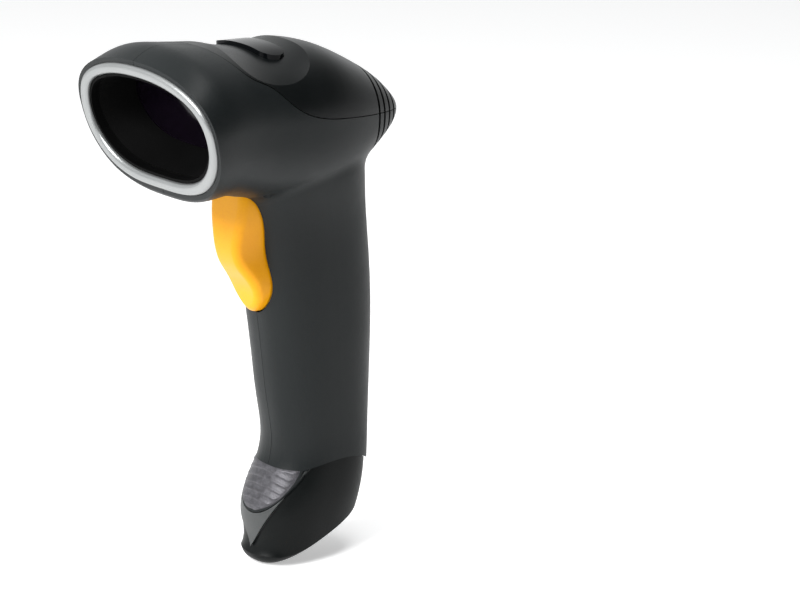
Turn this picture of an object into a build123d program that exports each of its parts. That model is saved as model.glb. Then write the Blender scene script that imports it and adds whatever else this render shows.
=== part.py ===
"""Hand-held trigger barcode scanner, pistol form, as separate pieces.

The scanner faces -Y, +Z is up and X = 0 is its plane of symmetry.  The origin
is under the middle of the whole body, at the height of the lowest point of the
foot.  All sizes are in millimetres.
"""
import os
from math import cos, pi, radians, sin, tan

from build123d import *

# ------------------------------------------------------------ driving sizes
HEIGHT = 152.0              # foot to the top of the head
WIDTH = 63.0                # across the mouth
DEPTH = 84.0                # rim of the mouth to the tip of the tail
WALL = 2.4                  # moulded housing wall
PART_GAP = 0.25             # visible line between two mouldings
SEAM_GAP = 0.12             # line where the left and right housings meet
FIT = 0.1                   # seated plastic pieces, on each side
RUN_FIT = 0.05              # a shaft turning in its bore, on the radius
PRESS_FIT = 0.02            # a pin or a screw held in its bore

# ------------------------------------------------------------ head
MOUTH_LEAN = 14.0           # the top of the mouth leans forward, degrees
MOUTH_DROP = 19.5           # widest level of the mouth, below the top
BROW_DROP = 3.2             # top edge of the mouth, below the top
CHIN_DROP = 40.2            # bottom edge of the mouth, below the top
RIM_PROUD = 1.0             # the pale rim stands out of the housing
RIM_LIP = 1.3               # housing lip left around the rim
RIM_WIDTH = 3.0
RIM_DEPTH = 2.6             # how far the rim goes into the housing
RIM_ROUND = 1.2
FORM_POINTS = 24            # points of each outline that a loft runs through

# The head's outlines from the mouth to the tail: share of its length, how much
# narrower than the mouth, then the top, the bottom and the widest level below
# the top of the head, the roundness above and below, the taper, and the lean.
HEAD_OUTLINES = [
    (0.000, 0.0, BROW_DROP, CHIN_DROP, MOUTH_DROP, 2.2, 3.4, 0.20, MOUTH_LEAN),
    (0.130, 2.5, 0.2, 41.0, 20.0, 2.3, 3.1, 0.17, 9.0),
    (0.250, 4.9, 1.3, 42.2, 20.5, 2.3, 3.0, 0.12, 4.0),
    (0.375, 6.3, 1.8, 43.8, 21.5, 2.3, 2.8, 0.08, 0.0),
    (0.510, 7.5, 2.2, 44.5, 22.5, 2.3, 2.7, 0.05, 0.0),
    (0.640, 9.7, 4.0, 44.5, 24.0, 2.3, 2.5, 0.00, 0.0),
    (0.750, 12.7, 7.7, 42.5, 25.0, 2.25, 2.4, 0.00, 0.0),
    (0.850, 16.3, 12.0, 38.3, 25.5, 2.2, 2.3, 0.00, 0.0),
    (0.940, 20.2, 16.9, 33.8, 25.5, 2.1, 2.2, 0.00, 0.0),
    (1.000, 24.5, 21.4, 29.6, 25.5, 2.0, 2.0, 0.00, 0.0),
]
RIB_COUNT = 4               # grooves around the tail
RIB_PITCH = 3.0
RIB_GROOVE = 1.0
RIB_DEPTH = 0.9
RIB_FIRST = 13.5            # first groove, ahead of the tail's tip
RIB_LOW = 38.0              # the grooves stop this far below the top

# ------------------------------------------------------------ handle and foot
HANDLE_ROUND = 2.45
THROAT_DROP = 44.5          # handle meets head, below the top
# Heights of the foot's outlines, then heights of the grip's as shares of the
# way from the foot to the throat: front, back and half width at each.  The
# grip's top follows the width of the head that it runs into.
FOOT_TOP = 34.0
FOOT_OUTLINES = [
    (-6.0, -3.6, 24.0, 10.4),
    (4.0, -4.8, 27.4, 12.2),
    (13.0, -4.4, 30.4, 13.5),
    (21.0, -1.9, 32.5, 13.8),
    (28.0, 1.9, 33.2, 13.4),
    (FOOT_TOP, 3.2, 33.5, 13.0),
]
GRIP_OUTLINES = [
    (0.16, 1.8, 33.9, 13.1),
    (0.35, 0.0, 34.3, 13.5),
    (0.54, -1.8, 34.3, 14.0),
    (0.72, -3.4, 33.4, 14.5),
    (0.86, -5.2, 32.2, 15.2),
    (0.96, -8.2, 31.2, WIDTH / 2 - 15.0),
    (1.05, -12.2, 30.4, WIDTH / 2 - 13.3),
    (1.14, -15.0, 29.0, WIDTH / 2 - 13.0),
]
THROAT_ROUND = 7.0
SOLE_SLOPE = 24.6           # the sole rises towards the back, degrees
SOLE_ROUND = 3.4
SOLE_WALL = 3.0
ARCH = [(-30.0, 26.0), (2.0, 26.0), (10.0, 28.6), (18.0, 29.6), (26.0, 28.4), (33.0, 24.6),
        (50.0, 17.0)]
TONGUE_TIP = 15.0           # the housing's front tongue ends at this height
TONGUE_HALF = 10.8
TONGUE_BACK = 7.0           # the tongue wraps round the foot's front as far back as this
# Three points of the ridge between the foot's front plate and its right flank.
FOOT_RIDGE = [(10.2, 4.4, 24.6), (8.0, -1.6, 17.9), (2.2, -4.6, 7.8)]
FLANK_STEP = 0.7            # the flanks lie this far inside the front plate

# ------------------------------------------------------------ top cover
COVER_LINE = [(-25.5, 10.0), (-22.5, -2.0), (-19.0, -7.0), (-13.5, -10.0), (-9.0, -14.0), (-3.5, -18.0),
              (4.0, -20.6), (13.0, -22.0), (26.0, -23.6), (60.0, -27.0)]
DISH_HALF = 21.0            # shallow dish in the cover, half its width
DISH_LENGTH = 12.5          # and half its length
DISH_Y = -3.5
DISH_DEPTH = 1.6
DISH_DROP = 1.9             # the head's crown there, below its top
DISH_FALL = 8.0             # the head falls away this far at the dish's ends
LENS_HALF = 12.5            # indicator lens, half its length across the head
LENS_WIDTH = 4.0
LENS_Y = -3.6
LENS_FLANGE = 1.0
LENS_DROP = 10.0            # foot of the lens, below the top

# ------------------------------------------------------------ trigger
PIVOT_Y = -3.0
PIVOT_DROP = 36.5
PIN_R = 1.2
PIN_HALF = 12.5
CHEEK = 10.2                # inner face of the ribs that carry the pin
CHEEK_WALL = 2.2
TRIGGER_TOP = 40.0          # below the top of the head
TRIGGER_CLEAR = 0.5
TRIGGER_WALL = 1.8
TRIGGER_FREE = 47.0         # below this drop the slot is open to the front
TRIGGER_ROUND = 2.4
# half widths seen from the front and the front edge seen from the side, with
# heights below the top of the head
TRIGGER_HALF = [(6.6, 40.0), (7.4, 50.0), (5.6, 61.0), (6.5, 70.0), (4.7, 75.0)]
TRIGGER_TIP = 78.2
TRIGGER_FRONT = [(-11.9, 39.0), (-12.3, 47.0), (-13.0, 54.0), (-12.9, 59.0), (-11.4, 63.5), (-8.6, 67.5),
                 (-6.3, 71.5), (-5.2, 75.0), (-4.4, TRIGGER_TIP)]
TRIGGER_BACK = 1.4
TRIGGER_ANGLE = 5.0         # full pull, degrees
PUSH_DROP = 56.0            # the pusher meets the switch here
PUSH_TIP = 3.7
PUSH_GAP = 0.3

LUG_HALF = 5.5
LUG_R = 3.2
STOP_GAP = 0.5
TAB_HALF = 2.5              # the tab at the trigger's tip that stops behind the handle's wall
TAB_LAP = 4.0
SPRING_WIRE_R = 0.35
SPRING_R = 1.9
SPRING_TURNS = 3
SPRING_PITCH = 0.9
SPRING_LEG = 4.0

# ------------------------------------------------------------ inside
BOARD = 1.6
BOARD_RAILS = (46.0, 90.0)
BEEPER_R = 5.4
BEEPER_HEIGHT = 3.2
BEEPER_Y = 21.0
SWITCH_DEPTH = 4.4
PLUNGER_R = 1.2
CONTACTS = 10
CONTACT_PITCH = 1.02
SCREW_SEAT = 7.0            # screw heads sit this far from the middle
HANDLE_BOARD_Y = 11.0
HANDLE_BOARD_HALF = 8.6
HANDLE_BOARD_LOW = 19.0
HANDLE_BOARD_TOP = 49.0     # below the top of the head
HEAD_BOARD_DROP = 37.4
ENGINE_DROP = 32.0          # underside of the engine's chassis
ENGINE_HALF = 12.0
ENGINE_FRONT = -14.0
ENGINE_BACK = 16.0
ENGINE_HEIGHT = 18.0
ENGINE_PLATE = 2.0
MIRROR_Y = 4.0              # scan mirror's axis
MIRROR_WIDTH = 13.0
MIRROR_HEIGHT = 11.0
MIRROR_THICK = 1.0
MIRROR_ANGLE = 12.0
MIRROR_PIN_R = 0.8
BARREL_R = 3.2
BARREL_LENGTH = 8.0
EAR_X = 13.4
EAR_ROWS = (-8.0, 12.0)
GROMMET_R = 2.9
GROMMET_LIP = 0.8
SCREW_R = 1.1
SCREW_HEAD_R = 2.1
HOUSING_SCREWS = [(22.0, 112.0), (26.0, 68.0), (24.0, 46.0), (-17.5, 37.0)]   # Y, below the top
BOSS_R = 3.0
JACK_Y = 12.8               # front face of the jack, on the board's back
JACK_DEPTH = 12.4
JACK_HALF = 7.6
JACK_LOW = 14.0
JACK_HEIGHT = 17.0
PLUG_HALF = 6.0
PLUG_DEPTH = 6.9
RELEASE_R = 1.2

# ------------------------------------------------------------ worked out
LEAN = radians(MOUTH_LEAN)
CENTRE_Z = HEIGHT - MOUTH_DROP
RIM_RISE = (MOUTH_DROP - BROW_DROP - RIM_LIP - FIT) / cos(LEAN)
MOUTH_Y = (-DEPTH / 2 + RIM_RISE * sin(LEAN) + RIM_PROUD * cos(LEAN)
           - RIM_ROUND * (sin(LEAN) + cos(LEAN) - 1))
TAIL_Y = DEPTH / 2
HEAD_LENGTH = TAIL_Y - MOUTH_Y
THROAT_Z = HEIGHT - THROAT_DROP
PIVOT_Z = HEIGHT - PIVOT_DROP
ENGINE_Z = HEIGHT - ENGINE_DROP
SCREW_PLACES = [(y, HEIGHT - drop) for y, drop in HOUSING_SCREWS]
FAR = 2 * (HEIGHT + DEPTH)


def outline(half, up, down, round_up, round_down, taper=0.0):
    """Points of a rounded outline about (0, 0): a superellipse above the widest
    level, another below it, drawn in towards the bottom by the taper."""
    points = []
    for i in range(FORM_POINTS):
        turn = 2 * pi * i / FORM_POINTS
        rise, power = (up, round_up) if sin(turn) >= 0 else (down, round_down)
        reach = ((abs(cos(turn)) / half) ** power + (abs(sin(turn)) / rise) ** power) ** (-1 / power)
        x, z = reach * cos(turn), reach * sin(turn)
        if z < 0:
            x *= 1 - taper * (z / down) ** 2
        points.append((x, z))
    return points


def closed_spline(points):
    return Wire([Edge.make_spline([Vector(*p) for p in points], periodic=True)])


def head_form(inset=0.0):
    """The head's outer form, or the same form drawn in all round by inset."""
    wires = []
    for share, narrower, top, bottom, widest, r_up, r_down, taper, lean in HEAD_OUTLINES:
        y = MOUTH_Y + share * HEAD_LENGTH
        if share == 1:
            y -= inset
        shape = outline(WIDTH / 2 - narrower - inset, widest - top - inset, bottom - widest - inset,
                        r_up, r_down, taper)
        slant = tan(radians(lean))
        wires.append(closed_spline([(x, y - z * slant, HEIGHT - widest + z) for x, z in shape]))
    return Solid.make_loft(wires)


def handle_form(inset=0.0):
    """The grip and the foot in one smooth form."""
    rows = list(FOOT_OUTLINES)
    rows += [(FOOT_TOP + share * (THROAT_Z - FOOT_TOP), *rest) for share, *rest in GRIP_OUTLINES]
    wires = []
    for z, front, back, half in rows:
        shape = outline(half - inset, (back - front) / 2 - inset, (back - front) / 2 - inset,
                        HANDLE_ROUND, HANDLE_ROUND)
        wires.append(closed_spline([(x, (front + back) / 2 + y, z) for x, y in shape]))
    return Solid.make_loft(wires)


def box(x0, x1, y0, y1, z0, z1):
    return Pos((x0 + x1) / 2, (y0 + y1) / 2, (z0 + z1) / 2) * Box(x1 - x0, y1 - y0, z1 - z0)


def rod(radius, start, end):
    """A round bar between two points."""
    start, end = Vector(*start), Vector(*end)
    return Solid.make_cylinder(radius, (end - start).length, Plane(start, z_dir=end - start))


def side_region(points, corners, half=FAR / 4):
    """The region on one side of a smooth (Y, Z) line, closed by way of the corners."""
    path = [Vector(-half, y, z) for y, z in points]
    loop = [path[-1]] + [Vector(-half, y, z) for y, z in corners] + [path[0]]
    edges = [Edge.make_spline(path)] + [Edge.make_line(a, b) for a, b in zip(loop, loop[1:])]
    return Solid.extrude(Face(Wire(edges)), Vector(2 * half, 0, 0))


def above(drop=0.0):
    """The region above the cover's lower edge, moved down by drop."""
    line = [(y, HEIGHT + z - drop) for y, z in COVER_LINE]
    return side_region(line, [(line[-1][0], HEIGHT + 40), (line[0][0], HEIGHT + 40)])


def below(rise=0.0):
    """The region below the foot cap's upper edge, moved up by rise."""
    line = [(y, z + rise) for y, z in ARCH]
    return side_region(line, [(line[-1][0], -40), (line[0][0], -40)])


def tongue(grow=0.0):
    """The housing's front tongue that runs down over the foot: a U seen from the front."""
    half, tip, top = TONGUE_HALF + grow, TONGUE_TIP - grow, ARCH[1][1] + 2.5
    right = [Vector(half, -20, top), Vector(half * 0.93, -20, tip + (top - tip) * 0.62),
             Vector(half * 0.62, -20, tip + (top - tip) * 0.2), Vector(0, -20, tip)]
    left = [Vector(-p.X, p.Y, p.Z) for p in reversed(right[:-1])]
    edges = [Edge.make_spline(right + left), Edge.make_line(left[-1], right[0])]
    return Solid.extrude(Face(Wire(edges)), Vector(0, 20 + TONGUE_BACK, 0))


def sole_cut(offset=0.0):
    """Everything below the sloping sole, or below a level offset above it."""
    slope = radians(SOLE_SLOPE)
    front = min(row[1] for row in FOOT_OUTLINES)
    toe = (front + SOLE_ROUND, SOLE_ROUND - (SOLE_ROUND - offset) / cos(slope))
    reach = FAR / 3
    start = (toe[0] - reach, toe[1] - reach * tan(slope))
    end = (toe[0] + reach, toe[1] + reach * tan(slope))
    corners = [start, end, (end[0], -reach), (start[0], -reach)]
    wire = Wire.make_polygon([Vector(-reach, y, z) for y, z in corners], close=True)
    return Solid.extrude(Face(wire), Vector(2 * reach, 0, 0))


def foot_flanks():
    """Both sides of the foot behind the ridges of its front plate."""
    top, middle, low = (Vector(*point) for point in FOOT_RIDGE)
    outward = (middle - top).cross(low - top).normalized()
    side = Plane(origin=middle, z_dir=outward) * box(-FAR / 4, FAR / 4, -FAR / 4, FAR / 4, 0, FAR / 4)
    side = one(side & box(0, WIDTH, -DEPTH / 2, DEPTH, -FOOT_TOP, FOOT_TOP))
    return side + side.mirror(Plane.YZ)


def grip_front(z):
    """The front of the handle at a height, by straight lines between its outlines."""
    rows = [(row[0], row[1]) for row in FOOT_OUTLINES]
    rows += [(FOOT_TOP + row[0] * (THROAT_Z - FOOT_TOP), row[1]) for row in GRIP_OUTLINES]
    for (z0, y0), (z1, y1) in zip(rows, rows[1:]):
        if z0 <= z <= z1:
            return y0 + (y1 - y0) * (z - z0) / (z1 - z0)
    return rows[0][1]


def one(shape):
    """The largest solid of a shape, as cuts can leave thin crumbs."""
    return max(shape.solids(), key=lambda s: s.volume)


# ------------------------------------------------------------ the outer body
def outer_body():
    body = one(head_form() + handle_form())
    seams = [e for e in body.edges() if e.length > 60 and abs(e.center().Z - THROAT_Z - 6) < 9
             and e.bounding_box().size.Y > 30]
    body = body.fillet(THROAT_ROUND, seams)
    body = one(body - sole_cut())
    rim = [e for e in body.edges() if e.bounding_box().max.Z < 20 and e.length > 40]
    body = body.fillet(SOLE_ROUND, rim)
    return body


def tail_grooves():
    """Rings cut around the tail, each down to a form just inside the head's."""
    inner, grooves = head_form(RIB_DEPTH), []
    for i in range(RIB_COUNT):
        y = TAIL_Y - RIB_FIRST + i * RIB_PITCH
        slab = box(-WIDTH / 2, WIDTH / 2, y, y + RIB_GROOVE, HEIGHT - RIB_LOW, HEIGHT + 5)
        grooves.append(one(slab - inner))
    return Compound(grooves)


def cavity():
    room = head_form(WALL) + handle_form(WALL)
    return one(room - sole_cut(SOLE_WALL))


OUTER = outer_body()
GROOVES = tail_grooves()
CAVITY = cavity()
MOUTH = Plane(origin=(0, MOUTH_Y, CENTRE_Z), x_dir=(1, 0, 0), z_dir=(0, -cos(LEAN), -sin(LEAN)))


def mouth_slab(inset, front, back, inset_back=None):
    """A plug in the mouth's own outline, drawn in by inset, from the depth front to
    the depth back behind the mouth's plane."""
    first, *_ = HEAD_OUTLINES
    wires = []
    for depth, draw in ((front, inset), (back, inset if inset_back is None else inset_back)):
        shape = outline(WIDTH / 2 - draw, (MOUTH_DROP - BROW_DROP - draw) / cos(LEAN),
                        (CHIN_DROP - MOUTH_DROP - draw) / cos(LEAN), first[5], first[6], first[7])
        plane = MOUTH.offset(-depth)
        wires.append(closed_spline([plane.from_local_coords((x, z, 0)) for x, z in shape]))
    return Solid.make_loft(wires, True)


PIECES = {}


def keep(name, shape):
    PIECES[name] = shape


# ------------------------------------------------------------ nose rim, bezel, window
WINDOW_DEPTH = 13.0
WINDOW_THICK = 1.6
BEZEL_WALL = 1.5
BEZEL_START = 1.4           # room left for the narrowing head at the bezel's front
BEZEL_DRAW = 4.4            # and at its back
BEZEL_STEP = 0.6            # the step that the window rests on
COLLAR_WALL = 0.8           # the bezel's collar lines the rim up to its rounded edge


def nose_rim():
    rim = (mouth_slab(RIM_LIP + FIT, -RIM_PROUD, RIM_DEPTH)
           - mouth_slab(RIM_LIP + FIT + RIM_WIDTH, -RIM_PROUD - 1, RIM_DEPTH + 1))
    rim = one(rim)
    front = [e for e in rim.edges() if abs(MOUTH.to_local_coords(e.center()).Z - RIM_PROUD) < 0.3]
    front = [e for e in front if e.length > 60]
    return rim.fillet(RIM_ROUND, front)


def bezel():
    start, end = WALL + FIT + BEZEL_START, WALL + FIT + BEZEL_DRAW
    outer = mouth_slab(start, RIM_DEPTH + FIT, WINDOW_DEPTH + WINDOW_THICK, end)
    inner = mouth_slab(start + BEZEL_WALL, RIM_DEPTH - 1, WINDOW_DEPTH, end + BEZEL_WALL)
    seat = mouth_slab(end + BEZEL_WALL - BEZEL_STEP, WINDOW_DEPTH, WINDOW_DEPTH + WINDOW_THICK + 1)
    lining, depth = RIM_LIP + RIM_WIDTH + 2 * FIT, RIM_DEPTH + BEZEL_WALL
    collar = mouth_slab(lining, RIM_ROUND - RIM_PROUD, depth)
    collar -= mouth_slab(lining + COLLAR_WALL, -RIM_PROUD, depth + 1)
    return one((outer - inner - seat) + one(collar))


def scan_window():
    inset = WALL + BEZEL_WALL + BEZEL_DRAW - BEZEL_STEP + 2 * FIT
    return mouth_slab(inset, WINDOW_DEPTH + FIT, WINDOW_DEPTH + WINDOW_THICK)


def window_gasket():
    inset = WALL + BEZEL_WALL + BEZEL_DRAW
    start = WINDOW_DEPTH + WINDOW_THICK + PRESS_FIT
    return one(mouth_slab(inset, start, start + 1.2) - mouth_slab(inset + 2.5, start - 1, start + 2.4))


keep("nose_rim", nose_rim())
keep("nose_bezel", bezel())
keep("scan_window", scan_window())
keep("window_gasket", window_gasket())

# ------------------------------------------------------------ trigger
TRIGGER_PLAN_Z = [(half, HEIGHT - drop) for half, drop in TRIGGER_HALF]


def trigger_front_prism(grow=0.0, back=TRIGGER_BACK):
    """The trigger's outline seen from the front, as a bar along Y."""
    tip = HEIGHT - TRIGGER_TIP - grow
    right = [Vector(half + grow, -FAR / 4, z) for half, z in TRIGGER_PLAN_Z]
    right[0] = right[0] + Vector(0, 0, grow)
    left = [Vector(-p.X, p.Y, p.Z) for p in reversed(right)]
    sides = Edge.make_spline(right + [Vector(0, -FAR / 4, tip)] + left)
    face = Face(Wire([sides, Edge.make_line(left[-1], right[0])]))
    return Solid.extrude(face, Vector(0, FAR / 4 + back, 0))


def trigger_side(shift=0.0, back=TRIGGER_BACK):
    """The region between the trigger's front face, moved back by shift, and its back."""
    line = [(y + shift, HEIGHT - drop) for y, drop in TRIGGER_FRONT]
    line[-1] = (max(line[-1][0], line[-2][0] + 0.5), line[-1][1])
    end_y, end_z = line[-1]
    return side_region(line, [(back, end_z - 1), (back, line[0][1])], WIDTH / 2)


def trigger():
    skin = one(trigger_front_prism() & trigger_side())
    face_edges = [e for e in skin.edges() if e.length > 30 and e.bounding_box().min.Y < -9]
    skin = skin.fillet(TRIGGER_ROUND, face_edges)
    hollow = trigger_front_prism(-TRIGGER_WALL, TRIGGER_BACK + 2)
    body = one(skin - (hollow & trigger_side(TRIGGER_WALL, TRIGGER_BACK + 2)))
    top = HEIGHT - TRIGGER_TOP
    body += box(-LUG_HALF, LUG_HALF, PIVOT_Y - LUG_R, PIVOT_Y + LUG_R, top - 4, PIVOT_Z)
    body += rod(LUG_R, (-LUG_HALF, PIVOT_Y, PIVOT_Z), (LUG_HALF, PIVOT_Y, PIVOT_Z))
    push_z, tip = HEIGHT - PUSH_DROP, HEIGHT - TRIGGER_TIP
    body += box(-1.2, 1.2, TRIGGER_FRONT[2][0] + 1, PUSH_TIP, push_z - 2, push_z + 2)
    tab_low = tip - TAB_LAP
    front = grip_front(tab_low) + WALL + STOP_GAP
    back = front + TRIGGER_WALL
    body += box(-TAB_HALF, TAB_HALF, front, back, tab_low, tip + 6)
    body += box(-TAB_HALF, TAB_HALF, front - 4, back, tip + 2, tip + 6) & trigger_side(0.5, 20)
    body -= rod(PIN_R + RUN_FIT, (-FAR, PIVOT_Y, PIVOT_Z), (FAR, PIVOT_Y, PIVOT_Z))
    return one(body)


def trigger_spring():
    """Torsion spring around the pin, beside the trigger's lug."""
    start = LUG_HALF + 0.7
    helix = Edge.make_helix(SPRING_PITCH, SPRING_PITCH * SPRING_TURNS, SPRING_R)
    at = Plane(origin=(start, PIVOT_Y, PIVOT_Z), x_dir=(0, 0, 1), z_dir=(1, 0, 0))
    helix = at.from_local_coords(helix)
    wire = Wire.make_circle(SPRING_WIRE_R, Plane(helix @ 0, z_dir=helix % 0))
    coil = Solid.sweep(Face(wire), Wire([helix]))
    first, last = helix @ 0, helix @ 1
    way, out = helix % 0, helix % 1
    spring = coil + rod(SPRING_WIRE_R, first, first - way * SPRING_LEG)
    return one(spring + rod(SPRING_WIRE_R, last, last + out * SPRING_LEG))


keep("trigger", trigger())
keep("trigger_pin", rod(PIN_R, (-PIN_HALF, PIVOT_Y, PIVOT_Z), (PIN_HALF, PIVOT_Y, PIVOT_Z)))
keep("trigger_spring", trigger_spring())


# ------------------------------------------------------------ switch, boards and jack
BOARD_FRONT = HANDLE_BOARD_Y
BOARD_TOP = HEIGHT - HANDLE_BOARD_TOP
PUSH_Z = HEIGHT - PUSH_DROP
SWITCH_FRONT = BOARD_FRONT - SWITCH_DEPTH
PLUNGER_TIP = PUSH_TIP + PUSH_GAP
TRAVEL = (PIVOT_Z - PUSH_Z) * radians(TRIGGER_ANGLE)


def switch_body():
    body = box(-3.5, 3.5, SWITCH_FRONT, BOARD_FRONT, PUSH_Z - 4, PUSH_Z + 4)
    bore = PLUNGER_R + RUN_FIT
    return one(body - rod(bore, (0, SWITCH_FRONT - 1, PUSH_Z), (0, BOARD_FRONT - 0.4, PUSH_Z)))


def switch_plunger():
    end = BOARD_FRONT - 0.4 - TRAVEL - 0.3
    return rod(PLUNGER_R, (0, PLUNGER_TIP, PUSH_Z), (0, end, PUSH_Z))


def handle_board():
    board = box(-HANDLE_BOARD_HALF, HANDLE_BOARD_HALF, BOARD_FRONT, BOARD_FRONT + BOARD,
                HANDLE_BOARD_LOW, BOARD_TOP)
    for z in BOARD_RAILS:
        board -= rod(1.2, (0, 0, z), (0, FAR, z))
    return one(board)


def board_chips():
    """Decoder, memory and driver chips on the front of the handle's board."""
    y = BOARD_FRONT - 1.2
    sizes = [(-5, 5, 58, 68), (-4, 2, 72, 80), (-6, -1, 30, 36), (1.5, 6, 29, 35)]
    return Compound([one(box(x0, x1, y, BOARD_FRONT, z0, z1)) for x0, x1, z0, z1 in sizes])


def jack():
    y1 = JACK_Y + JACK_DEPTH
    body = box(-JACK_HALF, JACK_HALF, JACK_Y, y1, JACK_LOW, JACK_LOW + JACK_HEIGHT)
    y0 = JACK_Y + (JACK_DEPTH - PLUG_DEPTH) / 2
    body -= box(-PLUG_HALF, PLUG_HALF, y0, y0 + PLUG_DEPTH, 0, JACK_LOW + JACK_HEIGHT - 3)
    body -= box(-3.2, 3.2, y0, y0 + PLUG_DEPTH + 1.6, 0, JACK_LOW + JACK_HEIGHT - 5)
    return one(body)


def jack_contacts():
    y0 = JACK_Y + (JACK_DEPTH - PLUG_DEPTH) / 2
    top = JACK_LOW + JACK_HEIGHT - 3
    pins = []
    for i in range(CONTACTS):
        x = (i - (CONTACTS - 1) / 2) * CONTACT_PITCH
        pins.append(one(box(x - 0.2, x + 0.2, y0, y0 + 0.5, JACK_LOW + 3, top)))
    return Compound(pins)


keep("switch_body", switch_body())
keep("switch_plunger", switch_plunger())
keep("handle_board", handle_board())
keep("board_chips", board_chips())
keep("cable_jack", jack())
keep("jack_contacts", jack_contacts())

HEAD_BOARD_Z = HEIGHT - HEAD_BOARD_DROP
HEAD_BOARD_FRONT = PIVOT_Y + LUG_R + 6


def head_board():
    board = box(-9.5, 9.5, HEAD_BOARD_FRONT, 24, HEAD_BOARD_Z, HEAD_BOARD_Z + BOARD)
    return one(board - box(-6, 6, BOARD_FRONT - 1.5, BOARD_FRONT + 4, 0, HEIGHT))


def ribbon():
    """Flat flexible lead from the top of the handle's board to the head's board."""
    y = BOARD_FRONT + BOARD
    return box(-5, 5, y, y + 0.4, BOARD_TOP - 6, HEAD_BOARD_Z + BOARD)


def beeper():
    base = HEAD_BOARD_Z + BOARD
    can = Solid.make_cylinder(BEEPER_R, BEEPER_HEIGHT, Plane(origin=(0, BEEPER_Y, base)))
    return one(can - Solid.make_cylinder(1, 3, Plane(origin=(0, BEEPER_Y, base + BEEPER_HEIGHT - 1))))


keep("head_board", head_board())
keep("board_ribbon", ribbon())
keep("beeper", beeper())

# ------------------------------------------------------------ scan engine
BASE_Z = ENGINE_Z + ENGINE_PLATE
ENGINE_TOP = ENGINE_Z + ENGINE_HEIGHT
MIRROR_Z = (BASE_Z + ENGINE_TOP - ENGINE_PLATE) / 2
BARREL_Z = BASE_Z + BARREL_R + 1.2
BARREL_X = ENGINE_HALF - BARREL_LENGTH + 4.5
LIGHT_Z = BARREL_Z + BARREL_R + 4.6
EARS = [(side * EAR_X, y) for y in EAR_ROWS for side in (-1, 1)]
FACING = Plane(origin=(0, MIRROR_Y, MIRROR_Z), x_dir=(1, 1, 0), z_dir=(1, -1, 0))


def chassis():
    body = box(-ENGINE_HALF, ENGINE_HALF, ENGINE_FRONT, ENGINE_BACK, ENGINE_Z, BASE_Z)
    for x, y in EARS:
        body += Solid.make_cylinder(GROMMET_R + 1.0, ENGINE_PLATE, Plane(origin=(x, y, ENGINE_Z)))
    body += box(-2, 9, ENGINE_BACK - 2, ENGINE_BACK, BASE_Z, ENGINE_TOP)
    body += box(-2, ENGINE_HALF + 0.6, ENGINE_BACK - 2, ENGINE_BACK, LIGHT_Z - 4, ENGINE_TOP)
    body += box(-3, 3, MIRROR_Y - 3, ENGINE_BACK, ENGINE_TOP - ENGINE_PLATE, ENGINE_TOP)
    wall_x = EAR_X - GROMMET_R - GROMMET_LIP - PART_GAP
    body += box(-wall_x, -wall_x + 1.6, ENGINE_FRONT, MIRROR_Y, BASE_Z, BASE_Z + 9)
    x0 = BARREL_X + 1.5
    body += box(x0, ENGINE_HALF, MIRROR_Y - BARREL_R - 0.7, MIRROR_Y + BARREL_R + 0.7, BASE_Z, BARREL_Z)
    body -= rod(BARREL_R + RUN_FIT, (BARREL_X - 5, MIRROR_Y, BARREL_Z), (FAR, MIRROR_Y, BARREL_Z))
    for x, y in EARS:
        body -= Solid.make_cylinder(GROMMET_R, 9, Plane(origin=(x, y, ENGINE_Z - 4)))
    body -= Solid.make_cylinder(MIRROR_PIN_R, HEIGHT, Plane(origin=(0, MIRROR_Y, ENGINE_Z + 0.6)))
    return one(body)


def mirror_carrier():
    low, high = BASE_Z + 0.4, ENGINE_TOP - ENGINE_PLATE - 0.4
    hub = Solid.make_cylinder(2.0, high - low, Plane(origin=(0, MIRROR_Y, low)))
    seat = FACING * box(-MIRROR_WIDTH / 2 + 0.5, MIRROR_WIDTH / 2 - 0.5,
                        -MIRROR_HEIGHT / 2, MIRROR_HEIGHT / 2, 0.9, 2.1)
    arm = FACING * box(-1.5, 1.5, -2.0, 2.0, -5.5, -0.9)
    bore = Solid.make_cylinder(MIRROR_PIN_R + RUN_FIT, HEIGHT, Plane(origin=(0, MIRROR_Y, 0)))
    return one(hub + seat + arm - bore)


def mirror():
    return one(FACING * box(-MIRROR_WIDTH / 2, MIRROR_WIDTH / 2, -MIRROR_HEIGHT / 2, MIRROR_HEIGHT / 2,
                            2.1, 2.1 + MIRROR_THICK))


def coil():
    ring = FACING * (box(-4, 4, -3.5, 3.5, -12.6, -9.2) - box(-1.4, 1.4, -1.4, 1.4, -14, -8))
    leg = FACING * box(-0.5, 3, -20, 0, -12.4, -9.4)
    return one(ring + (leg & box(-14, 0, MIRROR_Y, 20, BASE_Z, MIRROR_Z - 3.4)))


keep("engine_chassis", chassis())
keep("mirror_pin", rod(MIRROR_PIN_R, (0, MIRROR_Y, ENGINE_Z + 0.6), (0, MIRROR_Y, ENGINE_TOP)))
keep("mirror_carrier", mirror_carrier())
keep("scan_mirror", mirror())
keep("mirror_magnet", one(FACING * box(-2.5, 2.5, -3, 3, -8.0, -5.5)))
keep("drive_coil", coil())


DIODE_X = BARREL_X + BARREL_LENGTH - 3


def barrel():
    body = rod(BARREL_R, (BARREL_X, MIRROR_Y, BARREL_Z), (BARREL_X + BARREL_LENGTH, MIRROR_Y, BARREL_Z))
    body -= rod(1.0, (BARREL_X - 1, MIRROR_Y, BARREL_Z), (FAR, MIRROR_Y, BARREL_Z))
    body -= rod(2.2, (BARREL_X - 1, MIRROR_Y, BARREL_Z), (BARREL_X + 1.5, MIRROR_Y, BARREL_Z))
    body -= rod(2.4, (DIODE_X, MIRROR_Y, BARREL_Z), (FAR, MIRROR_Y, BARREL_Z))
    return one(body)


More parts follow.
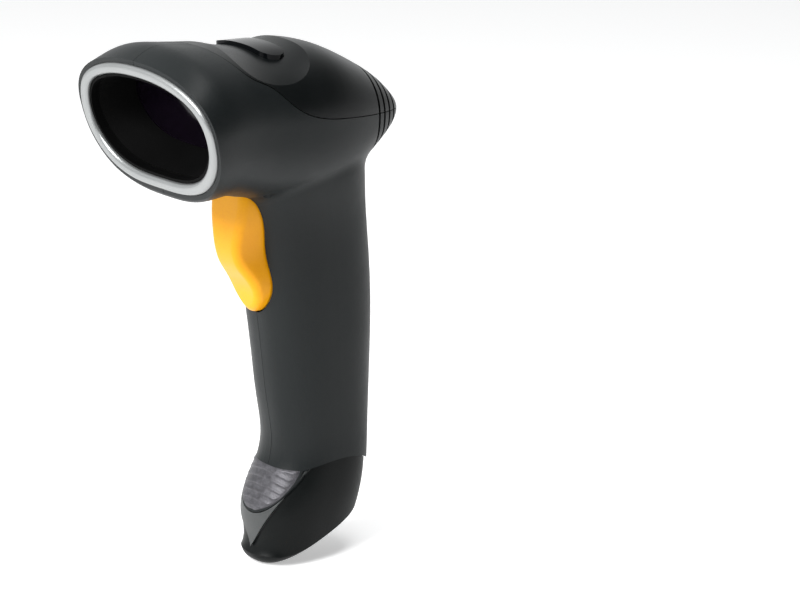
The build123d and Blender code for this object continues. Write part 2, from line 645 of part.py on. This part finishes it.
def diode():
    can = rod(2.35, (DIODE_X + 0.1, MIRROR_Y, BARREL_Z), (DIODE_X + 2.2, MIRROR_Y, BARREL_Z))
    for y in (MIRROR_Y - 1, MIRROR_Y + 1):
        can += rod(0.25, (DIODE_X + 2, y, BARREL_Z), (DIODE_X + 4.6, y, BARREL_Z))
    return one(can)


keep("laser_barrel", barrel())
keep("laser_lens", rod(2.15, (BARREL_X + 0.1, MIRROR_Y, BARREL_Z), (BARREL_X + 1.4, MIRROR_Y, BARREL_Z)))
keep("laser_diode", diode())
keep("photo_board", box(ENGINE_HALF - 0.6, ENGINE_HALF + 0.6, MIRROR_Y - 5, ENGINE_BACK - 2.1,
                        LIGHT_Z - 4, LIGHT_Z + 4))
keep("photodiode", box(ENGINE_HALF - 2.4, ENGINE_HALF - 0.6, MIRROR_Y - 2.5, MIRROR_Y + 2.5,
                       LIGHT_Z - 2.5, LIGHT_Z + 2.5))
keep("collector_filter", rod(3.4, (ENGINE_HALF - 3.6, MIRROR_Y, LIGHT_Z),
                             (ENGINE_HALF - 2.5, MIRROR_Y, LIGHT_Z)))


def grommets():
    rings = []
    for x, y in EARS:
        at = Plane(origin=(x, y, ENGINE_Z - GROMMET_LIP))
        ring = Solid.make_cylinder(GROMMET_R - PRESS_FIT, ENGINE_PLATE + 2 * GROMMET_LIP, at)
        for level in (0, ENGINE_PLATE + GROMMET_LIP):
            ring += Solid.make_cylinder(GROMMET_R + GROMMET_LIP, GROMMET_LIP, at.offset(level))
        rings.append(one(ring - Solid.make_cylinder(SCREW_R + 0.3, 20, at.offset(-5))))
    return Compound(rings)


def engine_screws():
    screws = []
    for x, y in EARS:
        head_z = ENGINE_Z + ENGINE_PLATE + GROMMET_LIP
        screw = Solid.make_cylinder(SCREW_HEAD_R, 1.4, Plane(origin=(x, y, head_z)))
        screw += Solid.make_cylinder(SCREW_R, 9.5, Plane(origin=(x, y, head_z - 9)))
        screws.append(one(screw - box(x - 1.3, x + 1.3, y - 0.25, y + 0.25, head_z + 0.8, head_z + 3)))
    return Compound(screws)


keep("engine_grommets", grommets())
keep("engine_screws", engine_screws())


# ------------------------------------------------------------ housings, cover and foot
def inside_posts():
    """Ribs, posts and bosses that stand on the inside of the housings."""
    posts = []
    for side in (-1, 1):
        x0, x1 = sorted((side * CHEEK, side * (CHEEK + CHEEK_WALL)))
        posts.append(box(x0, x1, PIVOT_Y - 4, PIVOT_Y + 4, HEIGHT - 48, PIVOT_Z + 3.4))
    for x, y in EARS:
        posts.append(Solid.make_cylinder(BOSS_R, 16, Plane(origin=(x, y, ENGINE_Z - GROMMET_LIP - 16))))
    for y, z in SCREW_PLACES:
        posts.append(rod(BOSS_R, (-FAR / 8, y, z), (FAR / 8, y, z)))
    for z in BOARD_RAILS:
        for side in (-1, 1):
            back = BOARD_FRONT + BOARD
            rail = box(HANDLE_BOARD_HALF - 1.6, FAR / 8, BOARD_FRONT - WALL, back + WALL, z - 1.5, z + 1.5)
            rail -= box(0, HANDLE_BOARD_HALF + FIT, BOARD_FRONT - FIT, back + FIT, 0, HEIGHT)
            posts.append(one(rail if side > 0 else rail.mirror(Plane.YZ)))
    return posts


def housing_half():
    """The right housing without its screw holes; the left one is its mirror image."""
    room = CAVITY
    for post in inside_posts():
        room = one(room - post)
    tongue_piece = one(OUTER & tongue(-PART_GAP) & below(PART_GAP))
    near = trigger_side(-TRIGGER_CLEAR, 4)
    near += box(-WIDTH / 2, WIDTH / 2, -DEPTH / 4, 4, HEIGHT - TRIGGER_TIP - 2, HEIGHT - TRIGGER_FREE)
    slot = trigger_front_prism(TRIGGER_CLEAR, 4) & near
    body = one(OUTER - above(PART_GAP))
    body = one(body - below(PART_GAP))
    body = one(body + tongue_piece)
    body = one(body - slot)
    body = one(body - mouth_slab(RIM_LIP, -20, RIM_DEPTH))
    body = one(body & box(SEAM_GAP / 2, FAR / 4, -FAR / 4, FAR / 4, -20, HEIGHT + 20))
    body = one(body - room)
    body = one(body - GROOVES)
    for x, y in EARS:
        if x > 0:
            body = one(body - rod(SCREW_R + PRESS_FIT, (x, y, ENGINE_Z - 12), (x, y, ENGINE_Z)))
    reach = PIN_HALF + FIT
    return one(body - rod(PIN_R + PRESS_FIT, (-reach, PIVOT_Y, PIVOT_Z), (reach, PIVOT_Y, PIVOT_Z)))


def housing_pair():
    right = housing_half()
    left = right.mirror(Plane.YZ)
    for y, z in SCREW_PLACES:
        right = one(right - rod(SCREW_R + PRESS_FIT, (0, y, z), (6.5, y, z)))
        left = one(left - rod(SCREW_R + 0.2, (-FAR / 8, y, z), (0, y, z)))
        left = one(left - rod(SCREW_HEAD_R + 0.3, (-FAR / 8, y, z), (-SCREW_SEAT, y, z)))
    return left, right


def top_cover():
    cover = one(OUTER & above())
    cover = one(cover - CAVITY)
    cover = one(cover - GROOVES)
    scoop = (DISH_LENGTH ** 2 + DISH_DEPTH ** 2) / (2 * DISH_DEPTH)
    fall = DISH_FALL - DISH_DEPTH
    arch = (DISH_HALF ** 2 + fall ** 2) / (2 * fall)
    axis = Plane(origin=(0, DISH_Y, HEIGHT - DISH_DROP - DISH_DEPTH - arch), z_dir=(0, 1, 0))
    cover = one(cover - axis * Torus(arch + scoop, scoop))
    return one(cover - lens_plan(FIT, HEIGHT - 20, HEIGHT + 5))


LENS_BASE = HEIGHT - LENS_DROP


def lens_plan(grow, z0, z1):
    half, r = LENS_HALF + grow, LENS_WIDTH + grow
    shape = Plane(origin=(0, LENS_Y, z0)) * Sketch(SlotOverall(2 * half, 2 * r).wrapped)
    return one(extrude(shape, z1 - z0))


def indicator_lens():
    body = lens_plan(0, LENS_BASE, HEIGHT + 5) & head_form(0.5)
    body += lens_plan(LENS_FLANGE, LENS_BASE, LENS_BASE + 1.2)
    return one(body)


def foot_cap():
    cap = one(OUTER & below())
    cap = one(cap - tongue())
    cap = one(cap - CAVITY)
    cap = one(cap - (foot_flanks() - handle_form(FLANK_STEP)))
    y0, y1 = JACK_Y + 0.6, JACK_Y + JACK_DEPTH - 0.6
    cap = one(cap - box(-JACK_HALF + 0.6, JACK_HALF - 0.6, y0, y1, -FAR, JACK_LOW))
    half, back = JACK_HALF + FIT, JACK_Y + JACK_DEPTH + FIT
    cap = one(cap - box(-half, half, JACK_Y - FIT, back, JACK_LOW - FIT, FAR))
    return one(cap - rod(RELEASE_R, (0, JACK_Y - 4, -FAR), (0, JACK_Y - 4, JACK_LOW + 4)))


LEFT, RIGHT = housing_pair()
keep("left_housing", LEFT)
keep("right_housing", RIGHT)
keep("top_cover", top_cover())
keep("indicator_lens", indicator_lens())
keep("foot_cap", foot_cap())


def housing_screws():
    screws = []
    for y, z in SCREW_PLACES:
        screw = rod(SCREW_HEAD_R, (-SCREW_SEAT - 1.5, y, z), (-SCREW_SEAT, y, z))
        screw += rod(SCREW_R, (-SCREW_SEAT, y, z), (6, y, z))
        slots = box(-SCREW_SEAT - 3, -SCREW_SEAT - 0.8, y - 1.2, y + 1.2, z - 0.25, z + 0.25)
        slots += box(-SCREW_SEAT - 3, -SCREW_SEAT - 0.8, y - 0.25, y + 0.25, z - 1.2, z + 1.2)
        screws.append(one(screw - slots))
    return Compound(screws)


keep("housing_screws", housing_screws())

LED_Z = LENS_BASE - 1.3
keep("led_board", box(-9, 9, LENS_Y - 3.5, LENS_Y + 3.5, LED_Z - 1.2, LED_Z))
keep("status_leds", Compound([one(box(x - 1.0, x + 1.0, LENS_Y - 0.8, LENS_Y + 0.8, LED_Z, LED_Z + 0.9))
                              for x in (-5, 5)]))

os.makedirs("parts", exist_ok=True)
for name, shape in PIECES.items():
    export_step(shape, f"parts/{name}.step")
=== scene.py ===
import bpy
import numpy as np
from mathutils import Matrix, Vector


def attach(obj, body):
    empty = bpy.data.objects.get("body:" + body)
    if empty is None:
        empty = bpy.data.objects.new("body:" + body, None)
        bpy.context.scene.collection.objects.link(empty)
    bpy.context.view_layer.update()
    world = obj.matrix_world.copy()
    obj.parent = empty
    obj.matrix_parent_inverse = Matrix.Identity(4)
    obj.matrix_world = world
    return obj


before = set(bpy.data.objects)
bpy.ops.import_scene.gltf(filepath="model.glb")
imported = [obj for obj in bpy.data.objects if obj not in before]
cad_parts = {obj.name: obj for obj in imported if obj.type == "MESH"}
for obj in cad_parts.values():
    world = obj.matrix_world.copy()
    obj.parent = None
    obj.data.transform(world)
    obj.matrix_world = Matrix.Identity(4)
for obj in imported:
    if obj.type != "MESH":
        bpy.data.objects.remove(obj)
bpy.context.view_layer.update()
scene = bpy.context.scene


# The studio. A light table that the scanner stands on, in a white room with one dark wall to
# the right, with a big soft box high in front of the mouth and a strip over the top.
scene.view_settings.view_transform = "Standard"


def from_angle(azimuth, elevation, distance, aim):
    """The point that far from aim, azimuth degrees round from -Y towards +X, and so high."""
    a, e = np.radians(azimuth), np.radians(elevation)
    return Vector(aim) + distance * Vector(
        (np.sin(a) * np.cos(e), -np.cos(a) * np.cos(e), np.sin(e))
    )


def point_at(thing, place, aim):
    """Puts a camera or a light at place, looking at aim."""
    thing.location = place
    thing.rotation_euler = (Vector(aim) - Vector(place)).to_track_quat("-Z", "Y").to_euler()
    scene.collection.objects.link(thing)


view_aim = (0, 0.017, 0.076)
camera_data = bpy.data.cameras.new("camera")
camera_data.sensor_width = 36
camera_data.lens = 128.5
camera_data.shift_x = 0.1125
camera_data.shift_y = -0.01125
camera = bpy.data.objects.new("camera", camera_data)
point_at(camera, from_angle(52, 16, 0.8, view_aim), view_aim)
scene.camera = camera

for name, azimuth, elevation, distance, wide, tall, watts in (
    ("front_box", 5, 38, 0.9, 0.55, 0.4, 9.0),
    ("over_strip", 120, 80, 0.8, 0.5, 0.2, 3.0),
):
    lamp = bpy.data.lights.new(name, "AREA")
    lamp.shape, lamp.size, lamp.size_y, lamp.energy = "RECTANGLE", wide, tall, watts
    point_at(
        bpy.data.objects.new(name, lamp),
        from_angle(azimuth, elevation, distance, view_aim),
        view_aim,
    )

def grid_piece(name, points, ring_rows=False, ring_columns=False):
    """A mesh object from a grid of points, with one quad between each four neighbours. A grid
    that closes on itself along its rows or its columns is joined there."""
    rows, columns = points.shape[:2]
    index = np.arange(rows * columns).reshape(rows, columns)
    if ring_rows:
        index = np.vstack([index, index[:1]])
    if ring_columns:
        index = np.hstack([index, index[:, :1]])
    quads = np.stack(
        [index[:-1, :-1], index[1:, :-1], index[1:, 1:], index[:-1, 1:]], axis=-1
    ).reshape(-1, 4)
    mesh = bpy.data.meshes.new(name)
    mesh.from_pydata(points.reshape(-1, 3), [], quads)
    mesh.polygons.foreach_set("use_smooth", np.ones(len(quads), bool))
    piece = bpy.data.objects.new(name, mesh)
    scene.collection.objects.link(piece)
    return piece


class Wiring:
    """A node tree in the making. add() makes a node, sets its sockets, and links the values
    that are sockets themselves."""

    def __init__(self, tree):
        self.tree = tree
        self.tree.nodes.clear()

    def add(self, kind, sockets=None, **settings):
        node = self.tree.nodes.new(kind)
        for key, value in settings.items():
            setattr(node, key, value)
        for key, value in (sockets or {}).items():
            if isinstance(value, bpy.types.NodeSocket):
                self.tree.links.new(value, node.inputs[key])
            else:
                node.inputs[key].default_value = value
        return node


def rgb(red, green, blue):
    """An opaque colour in linear light."""
    return (red, green, blue, 1.0)


room = bpy.data.worlds.new("room")
room.use_nodes = True
wires = Wiring(room.node_tree)
facing = wires.add("ShaderNodeTexCoord").outputs["Generated"]
toward_dark = wires.add(
    "ShaderNodeVectorMath",
    {0: facing, 1: from_angle(105, 35, 1.0, (0, 0, 0))},
    operation="DOT_PRODUCT",
)
level = wires.add(
    "ShaderNodeMapRange",
    {
        "Value": toward_dark.outputs["Value"],
        "From Min": -0.35,
        "From Max": 0.85,
        "To Min": 0.92,
        "To Max": 0.04,
    },
    interpolation_type="SMOOTHSTEP",
)
walls = wires.add(
    "ShaderNodeBackground", {"Color": rgb(0.98, 0.995, 1.0), "Strength": level.outputs["Result"]}
)
wires.add("ShaderNodeOutputWorld", {"Surface": walls.outputs["Background"]})
scene.world = room

paper = bpy.data.materials.new("studio_floor")
paper.use_nodes = True
wires = Wiring(paper.node_tree)
where = wires.add("ShaderNodeTexCoord").outputs["Object"]
fibre = wires.add("ShaderNodeTexNoise", {"Vector": where, "Scale": 900.0, "Detail": 3.0})
tint = wires.add(
    "ShaderNodeMix",
    {"Factor": fibre.outputs["Fac"], "A": rgb(0.86, 0.86, 0.86), "B": rgb(0.89, 0.89, 0.89)},
    data_type="RGBA",
)
sheet_shader = wires.add(
    "ShaderNodeBsdfPrincipled",
    {
        "Base Color": tint.outputs["Result"],
        "Roughness": 0.8,
        "Emission Color": rgb(1.0, 1.0, 1.0),
        "Emission Strength": 0.42,
    },
)
wires.add("ShaderNodeOutputMaterial", {"Surface": sheet_shader.outputs["BSDF"]})

floor_reach = np.linspace(-6.0, 6.0, 5)
floor_x, floor_y = np.meshgrid(floor_reach, floor_reach, indexing="ij")
floor = grid_piece("studio_floor", np.stack([floor_x, floor_y, 0 * floor_x], axis=-1))
floor.data.materials.append(paper)


# The two housing halves. ABS moulded in charcoal, left and right shells of one form that meet
# on the middle plane, with a fine spark-eroded grain from the mould and four screws inside.
def moulded_skin():
    """The node group for every moulded plastic: the mould's fine grain as a normal, a cloudy
    change of colour between two shades, and a roughness that the grain breaks up."""
    group = bpy.data.node_groups.new("moulded skin", "ShaderNodeTree")
    for socket, kind, start in (
        ("Position", "NodeSocketVector", (0, 0, 0)),
        ("Shade", "NodeSocketColor", rgb(0.02, 0.02, 0.02)),
        ("Bloom", "NodeSocketColor", rgb(0.03, 0.03, 0.03)),
        ("Grain per metre", "NodeSocketFloat", 2600.0),
        ("Grain depth", "NodeSocketFloat", 0.00003),
        ("Clouds per metre", "NodeSocketFloat", 45.0),
        ("Least rough", "NodeSocketFloat", 0.4),
        ("Most rough", "NodeSocketFloat", 0.55),
    ):
        made = group.interface.new_socket(socket, in_out="INPUT", socket_type=kind)
        made.default_value = start
    for socket, kind in (
        ("Color", "NodeSocketColor"),
        ("Roughness", "NodeSocketFloat"),
        ("Normal", "NodeSocketVector"),
    ):
        group.interface.new_socket(socket, in_out="OUTPUT", socket_type=kind)
    wires = Wiring(group)
    given = wires.add("NodeGroupInput").outputs
    grain = wires.add(
        "ShaderNodeTexNoise",
        {"Vector": given["Position"], "Scale": given["Grain per metre"], "Detail": 2.0},
    ).outputs["Fac"]
    clouds = wires.add(
        "ShaderNodeTexNoise",
        {"Vector": given["Position"], "Scale": given["Clouds per metre"], "Detail": 4.0},
    ).outputs["Fac"]
    blotch = wires.add(
        "ShaderNodeMapRange",
        {"Value": clouds, "From Min": 0.3, "From Max": 0.7},
    ).outputs["Result"]
    mottle = wires.add("ShaderNodeMath", {0: blotch, 1: grain}, operation="MULTIPLY")
    colour = wires.add(
        "ShaderNodeMix",
        {"Factor": mottle.outputs[0], "A": given["Shade"], "B": given["Bloom"]},
        data_type="RGBA",
    )
    rough = wires.add(
        "ShaderNodeMapRange",
        {
            "Value": mottle.outputs[0],
            "From Min": 0.1,
            "From Max": 0.6,
            "To Min": given["Least rough"],
            "To Max": given["Most rough"],
        },
    )
    bump = wires.add(
        "ShaderNodeBump",
        {"Height": grain, "Distance": given["Grain depth"], "Strength": 1.0},
    )
    wires.add(
        "NodeGroupOutput",
        {
            "Color": colour.outputs["Result"],
            "Roughness": rough.outputs["Result"],
            "Normal": bump.outputs["Normal"],
        },
    )
    return group


skin_group = moulded_skin()


def moulded(name, shade, bloom, rough, grain=2600.0, depth=0.00003, clouds=45.0, **shader):
    """A plastic or metal that shows the moulded skin, with plain numbers set on its shader."""
    material = bpy.data.materials.new(name)
    material.use_nodes = True
    wires = Wiring(material.node_tree)
    skin = wires.add("ShaderNodeGroup", node_tree=skin_group)
    for socket, value in (
        ("Shade", rgb(*shade)),
        ("Bloom", rgb(*bloom)),
        ("Grain per metre", grain),
        ("Grain depth", depth),
        ("Clouds per metre", clouds),
        ("Least rough", rough[0]),
        ("Most rough", rough[1]),
    ):
        skin.inputs[socket].default_value = value
    where = wires.add("ShaderNodeTexCoord").outputs["Object"]
    wires.tree.links.new(where, skin.inputs["Position"])
    plain = {key.replace("_", " "): value for key, value in shader.items()}
    surface = wires.add(
        "ShaderNodeBsdfPrincipled",
        {
            "Base Color": skin.outputs["Color"],
            "Roughness": skin.outputs["Roughness"],
            "Normal": skin.outputs["Normal"],
            **plain,
        },
    )
    wires.add("ShaderNodeOutputMaterial", {"Surface": surface.outputs["BSDF"]})
    return material


def dress(material, *nodes):
    """Gives CAD nodes their finish."""
    for node in nodes:
        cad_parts[node].data.materials.clear()
        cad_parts[node].data.materials.append(material)


charcoal = moulded(
    "charcoal_housing",
    (0.006, 0.008, 0.0085),
    (0.012, 0.015, 0.0155),
    (0.40, 0.54),
    Specular_IOR_Level=0.22,
)
dress(charcoal, "left_housing", "right_housing")
bright_steel = moulded(
    "bright_steel",
    (0.42, 0.42, 0.41),
    (0.56, 0.56, 0.55),
    (0.22, 0.36),
    grain=4000.0,
    depth=0.00001,
    Metallic=1.0,
)
dress(bright_steel, "housing_screws")


# The top cover. The same charcoal ABS as the housing, snapped down over the top of the head,
# a little glossier, with the indicator lens let into the dish behind its front edge.
# Its colour is set at about half the housing's: a painted shade for the dark top of the head.
cover_plastic = moulded(
    "charcoal_cover",
    (0.003, 0.004, 0.0042),
    (0.007, 0.0085, 0.009),
    (0.30, 0.44),
    Specular_IOR_Level=0.22,
)
dress(cover_plastic, "top_cover")


# The rim round the mouth. A bumper moulded in ABS and sprayed satin silver, pressed over the
# front edge of the two halves.
satin_silver = moulded(
    "satin_silver_rim",
    (0.30, 0.31, 0.31),
    (0.40, 0.41, 0.41),
    (0.28, 0.40),
    grain=5000.0,
    depth=0.00001,
    Metallic=0.7,
)
dress(satin_silver, "nose_rim")


# The scan window. A smoked acrylic pane glued to a rubber gasket, deep in a flared black
# bezel that keeps fingers off it and stray light out.
matt_black = moulded(
    "matt_black_bezel",
    (0.0012, 0.0012, 0.0012),
    (0.003, 0.003, 0.003),
    (0.6, 0.75),
    Specular_IOR_Level=0.06,
)
dress(matt_black, "nose_bezel")
rubber = moulded(
    "black_rubber", (0.004, 0.004, 0.004), (0.009, 0.009, 0.009), (0.7, 0.85), grain=3500.0
)
dress(rubber, "window_gasket", "engine_grommets")
smoked_acrylic = moulded(
    "smoked_acrylic",
    (0.002, 0.001, 0.003),
    (0.005, 0.003, 0.006),
    (0.05, 0.09),
    grain=300.0,
    depth=0.000002,
    Specular_IOR_Level=0.18,
)
dress(smoked_acrylic, "scan_window")


# The indicator. A light pipe moulded in smoked polycarbonate, an oval that lies across the
# head in the dish, over a small board with the status lamps.
smoked_lens = moulded(
    "smoked_lens",
    (0.002, 0.0025, 0.003),
    (0.004, 0.005, 0.006),
    (0.10, 0.18),
    grain=600.0,
    depth=0.000003,
    Specular_IOR_Level=0.12,
)
dress(smoked_lens, "indicator_lens")
lamp_resin = moulded(
    "lamp_resin", (0.35, 0.50, 0.30), (0.45, 0.62, 0.40), (0.1, 0.2), Coat_Weight=0.5
)
dress(lamp_resin, "status_leds")


# The trigger. A lever moulded in yellow-orange ABS with a polished face, which swings on a
# steel pin under the head against a coil spring.
trigger_plastic = moulded(
    "orange_trigger",
    (0.86, 0.33, 0.001),
    (0.97, 0.47, 0.003),
    (0.28, 0.38),
    grain=1800.0,
    depth=0.000006,
    Specular_IOR_Level=0.25,
)
dress(trigger_plastic, "trigger")
dress(bright_steel, "trigger_pin", "trigger_spring", "mirror_pin", "engine_screws")


# The foot. A cap moulded in black ABS that closes the bottom of the handle over the cable
# jack. Its front plate is polished and stands proud of the two flanks, which have a fine grain.
# The front plate is also coloured lighter than the flanks: a painted highlight for the light from
# the front.
def gloss_and_painted_highlight(name, front, flank, ridge):
    """A material that is front ahead of the foot's ridges and flank behind them; the front is
    glossier, and coloured lighter as a painted highlight. The ridge is a point on a plane and
    the plane's normal, mirrored in X by taking the distance from X = 0."""
    material = bpy.data.materials.new(name)
    material.use_nodes = True
    wires = Wiring(material.node_tree)
    where = wires.add("ShaderNodeTexCoord").outputs["Object"]
    folded = wires.add("ShaderNodeVectorMath", {0: where}, operation="ABSOLUTE")
    parts = wires.add("ShaderNodeSeparateXYZ", {"Vector": where}).outputs
    side = wires.add("ShaderNodeSeparateXYZ", {"Vector": folded.outputs["Vector"]}).outputs["X"]
    mirrored = wires.add("ShaderNodeCombineXYZ", {"X": side, "Y": parts["Y"], "Z": parts["Z"]})
    point, normal = ridge
    offset = wires.add(
        "ShaderNodeVectorMath", {0: mirrored.outputs["Vector"], 1: point}, operation="SUBTRACT"
    )
    behind = wires.add(
        "ShaderNodeVectorMath",
        {0: offset.outputs["Vector"], 1: normal},
        operation="DOT_PRODUCT",
    )
    # The mask picks out the front, which gets more gloss and the lighter painted-highlight
    # colour.
    mask = wires.add(
        "ShaderNodeMapRange",
        {"Value": behind.outputs["Value"], "From Min": -0.0003, "From Max": 0.0003},
    ).outputs["Result"]
    skins = []
    for shade, bloom, rough in (front, flank):
        skin = wires.add("ShaderNodeGroup", node_tree=skin_group)
        wires.tree.links.new(where, skin.inputs["Position"])
        skin.inputs["Shade"].default_value = rgb(*shade)
        skin.inputs["Bloom"].default_value = rgb(*bloom)
        skin.inputs["Least rough"].default_value = rough[0]
        skin.inputs["Most rough"].default_value = rough[1]
        skins.append(skin.outputs)
    colour = wires.add(
        "ShaderNodeMix",
        {"Factor": mask, "A": skins[0]["Color"], "B": skins[1]["Color"]},
        data_type="RGBA",
    )
    rough = wires.add(
        "ShaderNodeMix", {"Factor": mask, "A": skins[0]["Roughness"], "B": skins[1]["Roughness"]}
    )
    shine = wires.add("ShaderNodeMix", {"Factor": mask, "A": 0.65, "B": 0.12})
    surface = wires.add(
        "ShaderNodeBsdfPrincipled",
        {
            "Base Color": colour.outputs["Result"],
            "Roughness": rough.outputs["Result"],
            "Specular IOR Level": shine.outputs["Result"],
            "Normal": skins[1]["Normal"],
        },
    )
    wires.add("ShaderNodeOutputMaterial", {"Surface": surface.outputs["BSDF"]})
    return material


ridge_top = np.array((0.0102, 0.0044, 0.0246))
ridge_middle = np.array((0.0080, -0.0016, 0.0179))
ridge_low = np.array((0.0022, -0.0046, 0.0078))
ridge_normal = np.cross(ridge_middle - ridge_top, ridge_low - ridge_top)
ridge_normal /= np.linalg.norm(ridge_normal)
foot_plastic = gloss_and_painted_highlight(
    "black_foot",
    # The front's lighter colour is a painted highlight; the flank keeps the black plastic's own
    # colour.
    ((0.030, 0.033, 0.033), (0.060, 0.065, 0.065), (0.30, 0.42)),
    ((0.003, 0.004, 0.004), (0.007, 0.008, 0.008), (0.34, 0.48)),
    (ridge_middle, ridge_normal),
)
dress(foot_plastic, "foot_cap")


# The tongue pad. A thin satin pad with fine raised ribs, glued over the joint of the two
# halves on the tongue that runs down over the foot.
def on_skin(x, z, *nodes):
    """How far back the front of these nodes lies at x and z, by a ray from in front, or by
    one a hair above it where the first slips between two triangles."""
    hits = []
    for lift in (0, 1e-5, 2e-5, 3e-5):
        for node in (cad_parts[name] for name in nodes):
            hit, place, _, _ = node.ray_cast(Vector((x, -0.1, z + lift)), Vector((0, 1, 0)))
            if hit:
                hits.append(place.y)
        if hits:
            return min(hits)
    raise ValueError(f"nothing in front at {x}, {z}")


def tongue_pad():
    """A sheet over the tongue. Its half width at the share t of its height is
    10.3 (1 - (1 - t) ** 2.6) ** (1 / 1.7) mm. It stands 0.3 mm proud, with its edges 0.2 mm
    under the skin, and its ribs are 0.22 mm more where the cosine of the height, bent in the
    middle, is positive."""
    rows, columns = 70, 61
    low, tall, half_top = 0.0157, 0.0124, 0.0103
    joint, sunk, thick, border = 0.0001, 0.0002, 0.0005, 0.0006
    rib_pitch, rib_height, rib_bend = 0.0019, 0.00022, 0.0022
    points = np.zeros((rows, columns, 3))
    for i, t in enumerate(np.linspace(0.012, 1.0, rows)):
        half = half_top * (1 - (1 - t) ** 2.6) ** (1 / 1.7)
        for j, u in enumerate(np.linspace(1, -1, columns)):
            x, z = u * half, low + t * tall
            clear = x if abs(x) > joint else joint
            skin = on_skin(clear, z, "left_housing", "right_housing", "foot_cap")
            edge = min((1 - abs(u)) * half, t * tall, (1 - t) * tall) / border
            bend = z - rib_bend * (1 - (x / half_top) ** 2)
            wave = max(0.0, np.cos(2 * np.pi * bend / rib_pitch))
            rise = thick * min(edge, 1.0) - sunk
            rise += rib_height * wave * min(max(edge - 0.8, 0.0), 1.0)
            points[i, j] = (x, skin - rise, z)
    return grid_piece("tongue_pad", points)


pad_paint = moulded(
    "satin_pad",
    (0.05, 0.049, 0.055),
    (0.15, 0.146, 0.162),
    (0.34, 0.5),
    grain=3000.0,
    depth=0.00006,
    clouds=700.0,
    Metallic=0.4,
)
pad = tongue_pad()
pad.data.materials.append(pad_paint)


# The seam lip. A strip inside the front of the grip that laps the joint of the two halves, so
# that no light shows through it. It is moulded in the same charcoal ABS.
def seam_lip():
    """A flat bar, 1.8 mm wide, from 2.9 to 3.6 mm behind the skin, drawn to a point at both
    ends. The skin is looked up beside the joint, and the grid runs round the bar."""
    half_wide, front, back = 0.0009, 0.0029, 0.0036
    low, high, point, beside_joint = 0.0156, 0.066, 0.02, 0.0003
    heights = [low - 0.0002, *np.linspace(low, high, 24), high + 0.0002]
    sizes = [point, *np.ones(24), point]
    rows = []
    for z, size in zip(heights, sizes):
        skin = on_skin(beside_joint, z, "right_housing")
        middle, deep = skin + (front + back) / 2, size * (back - front) / 2
        wide = size * half_wide
        rows.append(
            [
                (wide, middle - deep, z),
                (-wide, middle - deep, z),
                (-wide, middle + deep, z),
                (wide, middle + deep, z),
            ]
        )
    return grid_piece("seam_lip", np.array(rows), ring_columns=True)


lip = seam_lip()
lip.data.materials.append(charcoal)
for piece in (pad, lip):
    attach(piece, "housing")
jack_plastic = moulded(
    "jack_plastic", (0.010, 0.010, 0.011), (0.018, 0.018, 0.019), (0.4, 0.5)
)
dress(jack_plastic, "cable_jack", "switch_body", "board_chips", "beeper", "laser_diode")
gold_plate = moulded(
    "gold_plate", (0.75, 0.50, 0.16), (0.85, 0.60, 0.22), (0.2, 0.3), Metallic=1.0
)
dress(gold_plate, "jack_contacts")


# The boards. Green glass-epoxy boards in the handle and the head, joined by a flat white
# ribbon, with the trigger's switch and its blue button.
board_laminate = moulded(
    "board_laminate",
    (0.010, 0.075, 0.030),
    (0.018, 0.110, 0.045),
    (0.3, 0.42),
    grain=1500.0,
    Coat_Weight=0.4,
)
dress(board_laminate, "handle_board", "head_board", "led_board", "photo_board")
ribbon_film = moulded(
    "ribbon_film", (0.55, 0.55, 0.52), (0.68, 0.68, 0.64), (0.35, 0.5), grain=900.0
)
dress(ribbon_film, "board_ribbon")
button_plastic = moulded(
    "button_plastic", (0.02, 0.09, 0.30), (0.03, 0.13, 0.40), (0.35, 0.45)
)
dress(button_plastic, "switch_plunger")


# The scan engine. A die-cast zinc chassis on four rubber grommets, carrying the laser barrel,
# the swinging mirror with its magnet and coil, and the light sensor behind a red filter.
cast_zinc = moulded(
    "cast_zinc",
    (0.30, 0.31, 0.32),
    (0.44, 0.45, 0.46),
    (0.38, 0.55),
    grain=1400.0,
    Metallic=0.9,
)
dress(cast_zinc, "engine_chassis", "laser_barrel")
silvered_glass = moulded(
    "silvered_glass", (0.80, 0.82, 0.83), (0.86, 0.88, 0.89), (0.02, 0.05), Metallic=1.0
)
dress(silvered_glass, "scan_mirror")
dress(jack_plastic, "mirror_carrier", "photodiode")
magnet_nickel = moulded(
    "magnet_nickel", (0.48, 0.46, 0.43), (0.58, 0.56, 0.52), (0.25, 0.35), Metallic=1.0
)
dress(magnet_nickel, "mirror_magnet")
coil_enamel = moulded(
    "coil_enamel",
    (0.42, 0.14, 0.04),
    (0.60, 0.22, 0.07),
    (0.25, 0.4),
    grain=5000.0,
    depth=0.0001,
    Metallic=0.8,
)
dress(coil_enamel, "drive_coil")
red_filter = moulded(
    "red_filter", (0.25, 0.01, 0.012), (0.32, 0.015, 0.018), (0.05, 0.1), Coat_Weight=1.0
)
dress(red_filter, "collector_filter")
lens_glass = moulded(
    "lens_glass", (0.55, 0.60, 0.62), (0.62, 0.66, 0.68), (0.03, 0.06), Coat_Weight=1.0
)
dress(lens_glass, "laser_lens")


# Brings the scene's matrices up to date at the end.
bpy.context.view_layer.update()
